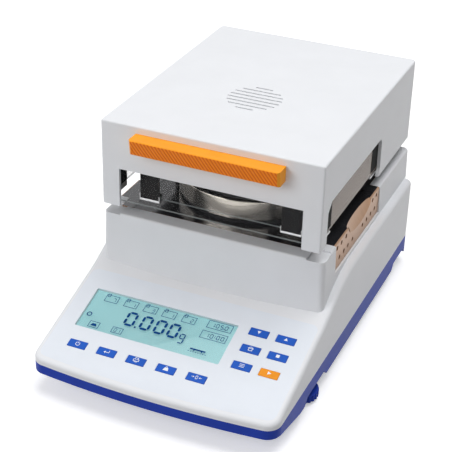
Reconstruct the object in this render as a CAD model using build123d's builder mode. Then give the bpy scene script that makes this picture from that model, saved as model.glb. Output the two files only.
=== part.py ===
from build123d import *
import math
import os

# A halogen moisture analyzer: a balance with a heated, hinged hood over its sample pan.
# Millimetres. +Z is up, +Y is to the rear, and the origin is on the table under the middle of
# the footprint. Every height is counted from the table.

# Case, from the nose of the keypad to the rear wall
body_width = 222.0
body_nose_y = -182.9
body_rear_y = 174.4
nose_bow = 6.5
nose_corner = 12.5
rear_corner = 8.0
case_wall = 3.0
case_fillet = 4.0
parting_height = 30.0
shoulder_height = 90.0
case_gap = 0.3

# Keypad panel
panel_angle = 16.5
panel_mid_y = -113.6
panel_mid_height = 53.3
panel_flat_y = -169.6
panel_end_y = -77.6
shoulder_start_y = 8.4
overlay_thick = 0.6
overlay_margin = 4.5
overlay_rear_y = -72.6

# Display
display_width = 134.0
display_height = 44.0
display_x = -25.0
display_thick = 1.8

# Keys
key_width = 17.0
key_height = 8.0
key_thick = 1.6
key_corner = 0.6
key_travel = 0.4
key_clearance = 0.15
key_stand_out = 0.25
key_row_x = -79.0
key_row_pitch = 27.5
key_row_up = -40.6
key_block_x = 61.1
key_block_pitch_x = 24.1
key_block_up = 1.2
key_block_pitch_up = 18.6

# Lower tray and feet
tray_wall = 3.0
skirt_height = 10.8
nose_height = 21.2
ramp_start_y = -121.6
ramp_end_y = -167.6
foot_recess = 6.0
foot_recess_half = 26.0
foot_recess_rear_half = 21.0
front_foot_x = 97.0
rear_foot_x = 88.0
front_foot_y = -85.6
rear_foot_y = 146.4
wheel_radius = 16.0
wheel_height = 6.6
wheel_flutes = 24
pad_radius = 11.0
pad_height = 3.0
stud_radius = 4.0
stud_length = 24.0
insert_radius = 6.5
insert_length = 12.0
boss_radius = 9.0
running_gap = 0.05

# Chamber surround
ledge_height = 119.3
surround_front_y = -60.6
surround_rear_y = 179.4
surround_half_width = 102.3
surround_draft = 2.2
surround_bow = 5.5
surround_corner = 5.0
surround_wall = 3.0
leg_pocket_depth = 1.4
leg_pocket_x = 86.5
leg_pocket_length = 19.0

# Floor plate with its folded, perforated flanges
plate_thick = 1.2
plate_front_y = -45.6
plate_rear_y = 118.4
plate_half_width = 92.0
flange_front_y = -30.6
flange_rear_y = 87.9
flange_height = 25.0
flange_hole = 2.6
flange_hole_count = 11
flange_hole_pitch = 10.6
scoop_half = 27.0
scoop_depth = 6.0
scoop_centre = 18.0
scoop_length = 8.5
shaft_hole_radius = 7.0

# Draft ring, pan and weighing parts
ring_y = 35.4
ring_radius = 68.0
ring_height = 19.5
ring_wall = 1.0
ring_seat_height = 3.0
ring_seat_radius = 66.0
pan_radius = 50.0
pan_depth = 7.0
pan_wall = 0.6
pan_floor_height = 128.0
support_thick = 2.0
shaft_radius = 4.0
cell_length = 130.0
cell_width = 24.0
cell_height = 22.0
cell_base_height = 34.0

# Hood
hood_width = 200.0
hood_front_y = -65.6
hood_rear_y = 182.9
hood_bottom = 130.0
hood_top = 209.0
hood_wall = 3.0
hood_rear_corner = 4.5
hood_edge = 1.6
front_window_half = 83.5
front_window_top = 166.0
side_window_front_y = -51.1
side_window_rear_y = 89.4
side_window_top = 168.0
side_window_corner = 8.0
vent_radius = 24.5
vent_y = 30.9
vent_x = -1.0
vent_pitch = 6.6
vent_slot = 1.8
vent_count = 8

# Grip on the hood's front
grip_half = 67.0
grip_top = 202.4
grip_height = 13.6
grip_depth = 14.6
grip_lean = 1.8

# Panes and their hangers
pane_thick = 2.0
carrier_height = 176.0
carrier_thick = 1.5
outer_pane_bottom = 133.5
inner_pane_y = -41.6
inner_pane_half = 75.0
inner_pane_bottom = 130.8
side_pane_bottom = 136.5
side_pane_front_y = -57.6
side_pane_rear_y = 100.4
hanger_width = 18.0
hanger_x = 66.0
hanger_bottom = 128.4
hanger_thick = 1.6

# Heater
lamp_radius = 52.0
lamp_tube = 4.5
lamp_height = 166.0
reflector_radius = 72.0
reflector_rise = 18.0
glass_radius = 70.0
glass_height = 157.0
glass_thick = 3.0

# Hinge
hinge_y = 176.9
hinge_height = 127.0
hinge_pin_radius = 1.5
knuckle_radius = 2.8
leaf_thick = 1.5
hinge_x = 72.0
hinge_half = 12.0
knuckle_length = 7.6

# Rear connectors
socket_x = -62.0
socket_height = 62.0
socket_width = 48.0
socket_tall = 28.0
switch_x = -12.0
switch_width = 22.0
switch_tall = 15.0
switch_bezel = 3.0
rocker_pin_radius = 1.2
data_x = 62.0
data_width = 31.0
data_tall = 12.5

body_half = body_width / 2
panel_slope = math.tan(math.radians(panel_angle))
panel_plane = Plane(
    origin=(0, panel_mid_y, panel_mid_height),
    x_dir=(1, 0, 0),
    z_dir=(0, -math.sin(math.radians(panel_angle)), math.cos(math.radians(panel_angle))),
)
foot_places = {
    "front_left": (-front_foot_x, front_foot_y),
    "front_right": (front_foot_x, front_foot_y),
    "rear_left": (-rear_foot_x, rear_foot_y),
    "rear_right": (rear_foot_x, rear_foot_y),
}

os.makedirs("parts", exist_ok=True)


def save(solid, name):
    """Label a finished piece and write it."""
    solid.label = name
    export_step(solid, "parts/" + name + ".step")


def panel_height(y):
    """Height of the keypad's plane at a distance along Y."""
    return panel_mid_height + panel_slope * (y - panel_mid_y)


def box(low, high):
    """A plain block between two corners."""
    size = [b - a for a, b in zip(low, high)]
    middle = [(a + b) / 2 for a, b in zip(low, high)]
    return Pos(*middle) * Box(*size, mode=Mode.PRIVATE)


def case_outline(inset=0.0):
    """Plan of the case: straight sides, a bowed nose and rounded corners."""
    half = body_half - inset
    nose = body_nose_y + inset
    rear = body_rear_y - inset
    with BuildSketch(Plane.XY, mode=Mode.PRIVATE) as plan:
        with BuildLine():
            ThreePointArc((-half, nose + nose_bow), (0, nose), (half, nose + nose_bow))
            Polyline((half, nose + nose_bow), (half, rear), (-half, rear), (-half, nose + nose_bow))
        make_face()
        fillet(plan.vertices().group_by(Axis.Y)[0], nose_corner - inset)
        fillet(plan.vertices().sort_by(Axis.Y)[-2:], rear_corner - inset)
    return plan.sketch


def above_case(drop=0.0):
    """Space above the lip, the panel, the rise and the shoulder."""
    start = body_nose_y - 10
    end = body_rear_y + 10
    rise_y = (panel_end_y + shoulder_start_y) / 2 - 10
    rise_height = shoulder_height - 12.5
    lip = panel_height(panel_flat_y) - drop
    with BuildSketch(Plane.YZ, mode=Mode.PRIVATE) as side:
        with BuildLine():
            Polyline(
                (start, lip),
                (panel_flat_y, lip),
                (panel_end_y, panel_height(panel_end_y) - drop),
            )
            Spline(
                (panel_end_y, panel_height(panel_end_y) - drop),
                (rise_y, rise_height - drop),
                (shoulder_start_y, shoulder_height - drop),
                tangents=[(1, panel_slope), (1, 0)],
            )
            Polyline(
                (shoulder_start_y, shoulder_height - drop),
                (end, shoulder_height - drop),
                (end, ledge_height + 10),
                (start, ledge_height + 10),
                (start, lip),
            )
        make_face()
        bend = side.vertices().filter_by(lambda v: abs(v.Y - lip) < 0.01 and v.X > start + 1)
        fillet(bend, 30)
    return extrude(side.sketch, body_half + 10, both=True, mode=Mode.PRIVATE)


def top_edges(part):
    """Edges where the case's walls turn over into its top."""
    walls = part.faces().filter_by(lambda f: abs(f.normal_at().Z) < 0.01)
    rim = walls.edges().filter_by(lambda e: e.center().Z > parting_height + 1)
    return rim.filter_by(lambda e: abs(e.tangent_at(0.5).Z) < 0.9)


# The white upper case, first as a solid block, which also trims what stands on it
with BuildPart() as case_block:
    with BuildSketch(Plane.XY.offset(parting_height)):
        add(case_outline())
    extrude(amount=shoulder_height + 5 - parting_height)
    add(above_case(), mode=Mode.SUBTRACT)
    fillet(top_edges(case_block), case_fillet)

with BuildPart() as case_hollow:
    with BuildSketch(Plane.XY.offset(parting_height)):
        add(case_outline(case_wall))
    extrude(amount=shoulder_height - parting_height)
    add(above_case(case_wall), mode=Mode.SUBTRACT)


def panel_cut(width, height, corner, x, up, depth):
    """A rounded block cut down into the panel from its surface."""
    with BuildSketch(panel_plane, mode=Mode.PRIVATE) as shape:
        with Locations((x, up)):
            RectangleRounded(width, height, corner)
    return extrude(shape.sketch, -depth, mode=Mode.PRIVATE)


# The overlay: a thin skin that follows the panel and the rise behind it
with BuildPart() as overlay_skin:
    with BuildSketch(Plane.XY.offset(parting_height)) as overlay_plan:
        add(case_outline(overlay_margin))
        with Locations((0, overlay_rear_y)):
            Rectangle(2 * body_width, 2 * body_width, align=(Align.CENTER, Align.MIN), mode=Mode.SUBTRACT)
        fillet(overlay_plan.vertices().group_by(Axis.Y)[-1], nose_corner / 2)
    extrude(amount=shoulder_height)
    add(above_case(), mode=Mode.SUBTRACT)
    add(above_case(overlay_thick), mode=Mode.INTERSECT)


key_spots = {}
for number in range(5):
    key_spots["key_row_" + str(number + 1)] = (key_row_x + number * key_row_pitch, key_row_up)
block_names = [
    ["key_arrow_down", "key_arrow_up"],
    ["key_block_left_middle", "key_block_right_middle"],
    ["key_block_left_low", "key_start"],
]
for row, names in enumerate(block_names):
    for column, name in enumerate(names):
        key_x = key_block_x + column * key_block_pitch_x
        key_spots[name] = (key_x, key_block_up + key_block_pitch_up * (1 - row))

with BuildPart() as upper_case:
    add(case_block.part)
    add(case_hollow.part, mode=Mode.SUBTRACT)
    # seat of the overlay, display opening and key openings
    add(overlay_skin.part, mode=Mode.SUBTRACT)
    display_cut = panel_cut(display_width, display_height, 1.0, display_x, 0, 2 * case_wall)
    add(display_cut, mode=Mode.SUBTRACT)
    for x, up in key_spots.values():
        add(panel_cut(key_width, key_height, key_corner, x, up, 2 * case_wall), mode=Mode.SUBTRACT)
    # opening under the chamber for the weighing shaft and the wiring
    add(
        box((-70, ring_y - 55, shoulder_height - 2 * case_wall), (70, ring_y + 55, shoulder_height + 1)),
        mode=Mode.SUBTRACT,
    )
    # openings for the connectors in the rear wall
    with BuildSketch(Plane.XZ.offset(-body_rear_y + 2 * case_wall)) as rear_holes:
        with Locations((socket_x, socket_height)):
            Rectangle(socket_width - 8, socket_tall - 6)
        with Locations((switch_x, socket_height)):
            Rectangle(switch_width - 3, switch_tall - 3)
        with Locations((data_x, socket_height)):
            Rectangle(data_width - 11, data_tall - 3)
    extrude(amount=-4 * case_wall, mode=Mode.SUBTRACT)
save(upper_case.part, "upper_case")

with BuildPart() as panel_overlay:
    add(overlay_skin.part)
    add(panel_cut(display_width, display_height, 1.0, display_x, 0, 2), mode=Mode.SUBTRACT)
    for x, up in key_spots.values():
        gap = 2 * key_clearance
        cut = panel_cut(key_width + gap, key_height + gap, key_corner + key_clearance, x, up, 2)
        add(cut, mode=Mode.SUBTRACT)
save(panel_overlay.part, "panel_overlay")

# Display: a clear cover in the opening, and the module behind it
with BuildPart() as display_cover:
    with BuildSketch(panel_plane.offset(-display_thick)):
        with Locations((display_x, 0)):
            RectangleRounded(display_width - 0.1, display_height - 0.1, 0.9)
    extrude(amount=display_thick - 0.1)
save(display_cover.part, "display_cover")

with BuildPart() as display_module:
    with BuildSketch(panel_plane.offset(-display_thick)):
        with Locations((display_x, 0)):
            Rectangle(display_width - 1, display_height - 1)
    extrude(amount=-(case_wall + 1 - display_thick))
    with BuildSketch(panel_plane.offset(-case_wall - 0.6)):
        with Locations((display_x, 0)):
            Rectangle(display_width + 14, display_height + 10)
    extrude(amount=-4)
save(display_module.part, "display_module")

# Keys: each one stands a little proud of the overlay and is pressed along the panel's normal
key_board_top = key_thick + key_travel + 2 * case_wall
for name, (x, up) in key_spots.items():
    with BuildPart() as key:
        with BuildSketch(panel_plane.offset(key_stand_out)):
            with Locations((x, up)):
                RectangleRounded(
                    key_width - 2 * key_clearance, key_height - 2 * key_clearance, key_corner
                )
        extrude(amount=-key_thick)
        fillet(key.faces().sort_by(Axis((0, 0, 0), panel_plane.z_dir))[-1].edges(), 0.2)
        # plunger that reaches down to the switch on the key board
        with BuildSketch(panel_plane.offset(key_stand_out - key_thick)):
            with Locations((x, up)):
                Circle(2.0)
        extrude(amount=-(case_wall + 1.2))
    save(key.part, name)

key_switch_top = key_stand_out - key_thick - case_wall - 1.2 - key_travel - 0.2
with BuildPart() as key_board:
    with BuildSketch(panel_plane.offset(key_switch_top - 3.5)):
        with Locations((key_row_x + 2 * key_row_pitch, key_row_up)):
            Rectangle(4 * key_row_pitch + 24, 11)
        with Locations((key_block_x + key_block_pitch_x / 2, key_block_up - 6)):
            Rectangle(key_block_pitch_x + 26, 2 * key_block_pitch_up + 26)
        with Locations(((key_block_x + display_x) / 2, key_row_up)):
            Rectangle(key_block_x - display_x, 11)
    extrude(amount=-1.6)
    # one tact switch under each key
    for x, up in key_spots.values():
        with BuildSketch(panel_plane.offset(key_switch_top - 3.5)):
            with Locations((x, up)):
                Rectangle(6, 6)
        extrude(amount=3.5)
save(key_board.part, "key_board")


# The blue lower tray: a floor that ramps up under the nose, with recesses beside the feet
def below_tray(lift=0.0):
    """Side profile of the space under the tray's floor."""
    start = body_nose_y - 10
    end = body_rear_y + 10
    with BuildSketch(Plane.YZ, mode=Mode.PRIVATE) as side:
        with BuildLine():
            Polyline(
                (start, -20),
                (end, -20),
                (end, skirt_height + lift),
                (ramp_start_y, skirt_height + lift),
                (ramp_end_y, nose_height + lift),
                (start, nose_height + lift),
                (start, -20),
            )
        make_face()
        bends = side.vertices().filter_by(lambda v: ramp_end_y - 1 < v.Y < ramp_start_y + 1)
        fillet(bends, 20)
    return extrude(side.sketch, body_half + 10, both=True, mode=Mode.PRIVATE)


def foot_pockets(wall=0.0):
    """Finger pockets in the skirt above each foot, or the housings round them."""
    shapes = []
    for x, y in foot_places.values():
        side = math.copysign(1, x)
        half = foot_recess_half if y < 0 else foot_recess_rear_half
        with BuildSketch(Plane.YZ.offset(side * (body_half + 1 - 2 * wall)), mode=Mode.PRIVATE) as notch:
            with Locations((y, skirt_height)):
                rise = foot_recess + wall
                Trapezoid(2 * (half + rise) + 3 * wall, 2 * rise, 45)
        depth = -side * (2 * (wheel_radius + 1) - wall)
        shapes.append(extrude(notch.sketch, depth, mode=Mode.PRIVATE))
    return shapes


with BuildPart() as tray_space:
    with BuildSketch(Plane.XY):
        add(case_outline(tray_wall))
    extrude(amount=parting_height + 1)
    add(below_tray(tray_wall), mode=Mode.SUBTRACT)

with BuildPart() as lower_tray:
    with BuildSketch(Plane.XY):
        add(case_outline())
    extrude(amount=parting_height)
    add(tray_space.part, mode=Mode.SUBTRACT)
    for housing in foot_pockets(tray_wall):
        add(housing)
    add(below_tray(), mode=Mode.SUBTRACT)
    for cut in foot_pockets():
        add(cut, mode=Mode.SUBTRACT)
    # bosses that hold the threaded inserts of the feet
    boss_floor = skirt_height + foot_recess
    for x, y in foot_places.values():
        with BuildSketch(Plane.XY.offset(boss_floor)):
            with Locations((x, y)):
                Circle(boss_radius)
        extrude(amount=insert_length)
        with BuildSketch(Plane.XY.offset(boss_floor + tray_wall)):
            with Locations((x, y)):
                RegularPolygon(insert_radius, 6)
        extrude(amount=insert_length, mode=Mode.SUBTRACT)
        with BuildSketch(Plane.XY.offset(skirt_height - 1)):
            with Locations((x, y)):
                Circle(stud_radius + 0.5)
        extrude(amount=foot_recess + tray_wall + 3, mode=Mode.SUBTRACT)
save(lower_tray.part, "lower_tray")

with BuildPart() as foot_inserts:
    for x, y in foot_places.values():
        with BuildSketch(Plane.XY.offset(boss_floor + tray_wall)):
            with Locations((x, y)):
                RegularPolygon(insert_radius - 0.1, 6)
                Circle(stud_radius + running_gap, mode=Mode.SUBTRACT)
        extrude(amount=insert_length - tray_wall)
save(foot_inserts.part, "foot_inserts")

# Levelling feet: a rubber pad that stays still on the table, and a fluted wheel with its stud
for place, (x, y) in foot_places.items():
    with BuildPart() as foot_pad:
        with BuildSketch(Plane.XY):
            with Locations((x, y)):
                Circle(pad_radius)
        extrude(amount=pad_height - running_gap)
        chamfer(foot_pad.edges().group_by(Axis.Z)[0], 0.5)
    save(foot_pad.part, "foot_pad_" + place)
    with BuildPart() as foot_wheel:
        with BuildSketch(Plane.XY.offset(pad_height)):
            with Locations((x, y)):
                Circle(wheel_radius)
        extrude(amount=wheel_height)
        fillet(foot_wheel.edges().group_by(Axis.Z)[-1], 1.5)
        with BuildSketch(Plane.XY.offset(pad_height)):
            with Locations((x, y)):
                with PolarLocations(wheel_radius + 0.6, wheel_flutes):
                    Circle(1.4)
        extrude(amount=wheel_height, mode=Mode.SUBTRACT)
        with BuildSketch(Plane.XY.offset(pad_height + wheel_height)):
            with Locations((x, y)):
                Circle(stud_radius)
        extrude(amount=stud_length)
    save(foot_wheel.part, "foot_" + place)

# Chamber surround: a drafted white block whose front wall bows out towards the keypad
surround_floor = panel_height(surround_front_y) - 20


def surround_outline(height, inset=0.0):
    """Plan of the surround at a height, wider and more bowed lower down."""
    drop = (ledge_height - height) / (ledge_height - surround_floor)
    half = surround_half_width + surround_draft * drop - inset
    front = surround_front_y - surround_bow * drop + inset
    rear = surround_rear_y - inset
    bow = 0.3 + surround_bow * drop
    corner = surround_corner - min(inset, surround_corner - 1)
    with BuildSketch(Plane.XY.offset(height), mode=Mode.PRIVATE) as plan:
        with BuildLine():
            ThreePointArc((-half, front + bow), (0, front), (half, front + bow))
            Polyline((half, front + bow), (half, rear), (-half, rear), (-half, front + bow))
        make_face()
        fillet(plan.vertices(), corner)
    return plan.sketch


plate_level = ledge_height - plate_thick
with BuildPart() as surround_space:
    add(surround_outline(surround_floor - 1, surround_wall))
    add(surround_outline(ledge_height - surround_wall, surround_wall))
    loft(ruled=True)

with BuildPart() as chamber_surround:
    add(surround_outline(surround_floor))
    add(surround_outline(ledge_height))
    loft(ruled=True)
    fillet(chamber_surround.faces().sort_by(Axis.Z)[-1].edges(), 1.8)
    add(surround_space.part, mode=Mode.SUBTRACT)
    add(case_block.part, mode=Mode.SUBTRACT)
    behind_case = box((-150, shoulder_start_y, 0), (150, 250, shoulder_height))
    add(behind_case, mode=Mode.SUBTRACT)
    # seat of the floor plate, and the opening below it
    add(
        box(
            (-plate_half_width - case_gap, plate_front_y - case_gap, plate_level),
            (plate_half_width + case_gap, plate_rear_y + case_gap, ledge_height + 1),
        ),
        mode=Mode.SUBTRACT,
    )
    add(
        box(
            (-plate_half_width + 6, plate_front_y + 6, ledge_height - 10),
            (plate_half_width - 6, plate_rear_y - 6, ledge_height + 1),
        ),
        mode=Mode.SUBTRACT,
    )
    for side in (-1, 1):
        # notch in the side wall for the folded flange
        with Locations((side * surround_half_width, (flange_front_y + flange_rear_y) / 2, ledge_height)):
            Box(
                4 * surround_wall + 13,
                flange_rear_y - flange_front_y + 2 * case_gap,
                2 * (flange_height + plate_thick),
                mode=Mode.SUBTRACT,
            )
        # pocket under the hood's front leg
        pocket_x = side * (leg_pocket_x + 20)
        with Locations((pocket_x, surround_front_y, ledge_height)):
            Box(40, 2 * leg_pocket_length, 2 * leg_pocket_depth, mode=Mode.SUBTRACT)
save(chamber_surround.part, "chamber_surround")

# Floor plate: one bent sheet, perforated flanges with a pressed finger scoop at each side
flange_x = surround_half_width - 0.6
flange_mid_y = (flange_front_y + flange_rear_y) / 2
flange_length = flange_rear_y - flange_front_y
with BuildPart() as floor_plate:
    add(
        box(
            (-plate_half_width, plate_front_y, plate_level),
            (plate_half_width, plate_rear_y, ledge_height),
        )
    )
    for side in (-1, 1):
        with BuildSketch(Plane.XZ.offset(-flange_rear_y)):
            with BuildLine():
                outer = FilletPolyline(
                    (side * (plate_half_width - 5), ledge_height - plate_thick / 2),
                    (side * (flange_x - plate_thick / 2), ledge_height - plate_thick / 2),
                    (side * (flange_x - plate_thick / 2), ledge_height - flange_height),
                    radius=2.0,
                )
                offset(outer, amount=plate_thick / 2, kind=Kind.TANGENT, closed=True)
            make_face()
        extrude(amount=flange_length)
        # two rows of holes
        start = flange_mid_y - flange_hole_pitch * (flange_hole_count - 1) / 2
        with BuildSketch(Plane.YZ.offset(side * (flange_x + 3))) as rows:
            for number in range(flange_hole_count):
                y = start + number * flange_hole_pitch
                with Locations((y, ledge_height - 17.0)):
                    Circle(flange_hole / 2)
                if abs(y - flange_mid_y) > scoop_half * 0.55:
                    with Locations((y - flange_hole_pitch / 3, ledge_height - 6.0)):
                        Circle(flange_hole / 2)
        extrude(amount=-side * 8, mode=Mode.SUBTRACT)
        # finger scoop pressed down into the fold: an oval trough with a wall at its inner end
        trough_start = side * (flange_x - scoop_length)
        with BuildSketch(Plane.YZ.offset(trough_start)):
            with Locations((flange_mid_y, ledge_height + scoop_centre)):
                Ellipse(scoop_half, scoop_centre + scoop_depth)
        extrude(amount=side * (scoop_length + 3), mode=Mode.SUBTRACT)
        with BuildSketch(Plane.YZ.offset(trough_start)):
            with Locations((flange_mid_y, ledge_height + scoop_centre)):
                Ellipse(scoop_half + plate_thick, scoop_centre + scoop_depth + plate_thick)
                Ellipse(scoop_half, scoop_centre + scoop_depth, mode=Mode.SUBTRACT)
            with Locations((flange_mid_y, ledge_height)):
                Rectangle(200, 100, align=(Align.CENTER, Align.MIN), mode=Mode.SUBTRACT)
        extrude(amount=side * scoop_length)
        with BuildSketch(Plane.YZ.offset(trough_start)):
            with Locations((flange_mid_y, ledge_height + scoop_centre)):
                Ellipse(scoop_half + plate_thick, scoop_centre + scoop_depth + plate_thick)
            with Locations((flange_mid_y, ledge_height)):
                Rectangle(200, 100, align=(Align.CENTER, Align.MIN), mode=Mode.SUBTRACT)
        extrude(amount=-side * plate_thick)
    with Locations((0, ring_y, ledge_height)):
        Hole(shaft_hole_radius)
save(floor_plate.part, "floor_plate")

# Ring seat and draft ring
with BuildPart() as ring_seat:
    with BuildSketch(Plane.XY.offset(ledge_height)):
        with Locations((0, ring_y)):
            Circle(ring_seat_radius)
            Circle(ring_seat_radius - 8, mode=Mode.SUBTRACT)
    extrude(amount=ring_seat_height)
save(ring_seat.part, "ring_seat")

ring_base = ledge_height + ring_seat_height
with BuildPart() as draft_ring:
    with BuildSketch(Plane.XZ.offset(-ring_y)) as ring_profile:
        with BuildLine():
            wall_line = FilletPolyline(
                (ring_radius - 9, ring_base + ring_wall / 2),
                (ring_radius - ring_wall / 2, ring_base + ring_wall / 2),
                (ring_radius - ring_wall / 2, ring_base + ring_height - ring_wall / 2),
                (ring_radius - 3.5, ring_base + ring_height - ring_wall / 2),
                radius=1.2,
            )
            offset(wall_line, amount=ring_wall / 2, closed=True)
        make_face()
    revolve(axis=Axis((0, ring_y, 0), (0, 0, 1)))
save(draft_ring.part, "draft_ring")

# Sample pan: a thin dish with a rolled rim
with BuildPart() as sample_pan:
    with BuildSketch(Plane.XZ.offset(-ring_y)) as dish:
        with BuildLine():
            dish_line = FilletPolyline(
                (0, pan_floor_height + pan_wall / 2),
                (pan_radius - 3, pan_floor_height + pan_wall / 2),
                (pan_radius - pan_wall / 2, pan_floor_height + pan_depth - pan_wall),
                (pan_radius + 1.5, pan_floor_height + pan_depth - pan_wall),
                radius=1.5,
            )
            offset(dish_line, amount=pan_wall / 2, closed=True)
        make_face()
        Rectangle(4 * pan_radius, 4 * hood_top, align=(Align.MAX, Align.CENTER), mode=Mode.SUBTRACT)
    revolve(axis=Axis((0, ring_y, 0), (0, 0, 1)))
save(sample_pan.part, "sample_pan")

# Pan support: a hub with three arms that end in small rests under the dish
support_top = pan_floor_height - 0.1
with BuildPart() as pan_support:
    with BuildSketch(Plane.XY.offset(support_top - support_thick)):
        with Locations((0, ring_y)):
            Circle(9)
            with PolarLocations(0, 3, start_angle=90):
                Rectangle(pan_radius - 8, 6, align=(Align.MIN, Align.CENTER))
            with PolarLocations(pan_radius - 10, 3, start_angle=90):
                Circle(5)
    extrude(amount=support_thick)
    fillet(pan_support.edges().filter_by(Axis.Z), 1.0)
save(pan_support.part, "pan_support")

cell_top = cell_base_height + cell_height
with BuildPart() as weighing_shaft:
    with BuildSketch(Plane.XY.offset(cell_top + 3)):
        with Locations((0, ring_y)):
            Circle(shaft_radius)
    extrude(amount=support_top - support_thick - cell_top - 3)
    with BuildSketch(Plane.XY.offset(cell_top + 3)):
        with Locations((0, ring_y)):
            Circle(9)
    extrude(amount=4)
save(weighing_shaft.part, "weighing_shaft")

# Load cell: a bending beam with its thin hinges, on a base at the far end
cell_start_y = ring_y - 10
with BuildPart() as load_cell:
    add(
        box(
            (-cell_width / 2, cell_start_y, cell_base_height),
            (cell_width / 2, cell_start_y + cell_length, cell_top),
        )
    )
    with BuildSketch(Plane.YZ.offset(-cell_width)) as window:
        with Locations((cell_start_y + cell_length / 2, cell_base_height + cell_height / 2)):
            Rectangle(cell_length * 0.34, cell_height * 0.35)
            with GridLocations(cell_length * 0.34, 0, 2, 1):
                Circle(cell_height * 0.41)
    extrude(amount=2 * cell_width, mode=Mode.SUBTRACT)
    # pad at the free end, under the shaft
    add(
        box(
            (-cell_width / 2, cell_start_y, cell_top - 1),
            (cell_width / 2, cell_start_y + 20, cell_top + 2.5),
        )
    )
save(load_cell.part, "load_cell")

tray_floor = skirt_height + tray_wall
with BuildPart() as cell_mount:
    add(
        box(
            (-cell_width / 2 - 8, cell_start_y + cell_length - 34, tray_floor),
            (cell_width / 2 + 8, cell_start_y + cell_length + 6, cell_base_height),
        )
    )
    fillet(cell_mount.edges().filter_by(Axis.Z), 4)
save(cell_mount.part, "cell_mount")

# Heat tub under the floor plate keeps the chamber's heat from the electronics
tub_bottom = shoulder_height + 3
with BuildPart() as heat_tub:
    with BuildSketch(Plane.XY.offset(tub_bottom)):
        with Locations((0, ring_y)):
            RectangleRounded(2 * plate_half_width - 16, plate_rear_y - plate_front_y - 16, 8)
    extrude(amount=plate_level - tub_bottom)
    offset(amount=-1.0, openings=heat_tub.faces().sort_by(Axis.Z)[-1])
    with Locations((0, ring_y, tub_bottom)):
        Hole(shaft_hole_radius)
save(heat_tub.part, "heat_tub")

# Boards in the case
with BuildPart() as main_board:
    add(box((-96, -48, tray_floor + 4), (-26, 90, tray_floor + 5.6)))
    for x in (-92, -30):
        for y in (-44, 86):
            with Locations((x, y, tray_floor + 2)):
                Cylinder(3, 4)
    for y in (-30, -4, 30, 62):
        with Locations((-60, y, tray_floor + 7.6)):
            Box(18, 18, 4)
save(main_board.part, "main_board")

with BuildPart() as power_supply:
    add(box((30, -48, tray_floor + 4), (96, 60, tray_floor + 5.6)))
    for x in (34, 92):
        for y in (-44, 56):
            with Locations((x, y, tray_floor + 2)):
                Cylinder(3, 4)
    with Locations((62, 20, tray_floor + 5.6 + 13)):
        Box(34, 40, 26)
    with GridLocations(18, 18, 2, 2):
        with Locations((62, -22, tray_floor + 5.6 + 9)):
            Cylinder(7, 18)
save(power_supply.part, "power_supply")

# Rear connectors: mains inlet with its three blades, rocker switch and data socket
rear_plane = Plane.XZ.offset(-body_rear_y)
with BuildPart() as mains_inlet:
    with BuildSketch(rear_plane):
        with Locations((socket_x, socket_height)):
            RectangleRounded(socket_width, socket_tall, 2)
    extrude(amount=-2.5)
    with BuildSketch(rear_plane):
        with Locations((socket_x, socket_height)):
            Rectangle(socket_width - 9, socket_tall - 7)
    extrude(amount=22)
    with BuildSketch(rear_plane.offset(-2.5)) as mouth:
        with Locations((socket_x, socket_height)):
            Rectangle(27, 19)
        chamfer(mouth.vertices().group_by(Axis.Y)[-1], 4)
    extrude(amount=17, mode=Mode.SUBTRACT)
    with BuildSketch(rear_plane.offset(14.5)):
        with Locations((socket_x - 7, socket_height - 2), (socket_x + 7, socket_height - 2)):
            Rectangle(2, 4)
        with Locations((socket_x, socket_height + 3)):
            Rectangle(2, 4)
    extrude(amount=-12)
    with Locations(Plane.XZ.offset(-body_rear_y - 2.5)):
        with Locations((socket_x - 20, socket_height), (socket_x + 20, socket_height)):
            CounterSinkHole(1.6, 3.0)
save(mains_inlet.part, "mains_inlet")

rocker_pivot = body_rear_y - 4
with BuildPart() as switch_frame:
    with BuildSketch(rear_plane):
        with Locations((switch_x, socket_height)):
            RectangleRounded(switch_width, switch_tall, 1)
            Rectangle(switch_width - 6, switch_tall - 5, mode=Mode.SUBTRACT)
    extrude(amount=-2)
    with BuildSketch(rear_plane):
        with Locations((switch_x, socket_height)):
            Rectangle(switch_width - 4, switch_tall - 4)
            Rectangle(switch_width - 6, switch_tall - 5, mode=Mode.SUBTRACT)
    extrude(amount=14)
    # round holes for the rocker's pivot pins
    with BuildSketch(Plane.XY.offset(socket_height)):
        with Locations((switch_x, rocker_pivot)):
            Circle(rocker_pin_radius + 2 * running_gap)
    extrude(amount=switch_tall / 2, both=True, mode=Mode.SUBTRACT)
save(switch_frame.part, "switch_frame")

with BuildPart() as power_switch:
    rocker_half = switch_width / 2 - switch_bezel - 1.6
    with BuildSketch(Plane.XY.offset(socket_height)):
        with BuildLine():
            Polyline(
                (switch_x - rocker_half, rocker_pivot + 5.0),
                (switch_x, rocker_pivot + 5.5),
                (switch_x + rocker_half, rocker_pivot + 6.6),
                (switch_x + rocker_half - 0.7, rocker_pivot - 1),
                (switch_x, rocker_pivot - 3),
                (switch_x - rocker_half + 0.7, rocker_pivot - 1),
                (switch_x - rocker_half, rocker_pivot + 5.0),
            )
        make_face()
    extrude(amount=(switch_tall - 5) / 2 - 0.3, both=True)
    # pivot pins at its top and bottom
    with BuildSketch(Plane.XY.offset(socket_height)):
        with Locations((switch_x, rocker_pivot)):
            Circle(rocker_pin_radius)
    extrude(amount=(switch_tall - 5) / 2 + 0.3, both=True)
save(power_switch.part, "power_switch")

with BuildPart() as data_socket:
    with BuildSketch(rear_plane):
        with Locations((data_x, socket_height)):
            RectangleRounded(data_width, data_tall, 1)
    extrude(amount=-1)
    with BuildSketch(rear_plane.offset(-1)) as shell_shape:
        with Locations((data_x, socket_height)):
            Trapezoid(17, 8.4, 80)
    extrude(amount=-4)
    with BuildSketch(rear_plane):
        with Locations((data_x, socket_height)):
            Rectangle(data_width - 12, data_tall - 4)
    extrude(amount=10)
save(data_socket.part, "data_socket")

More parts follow.
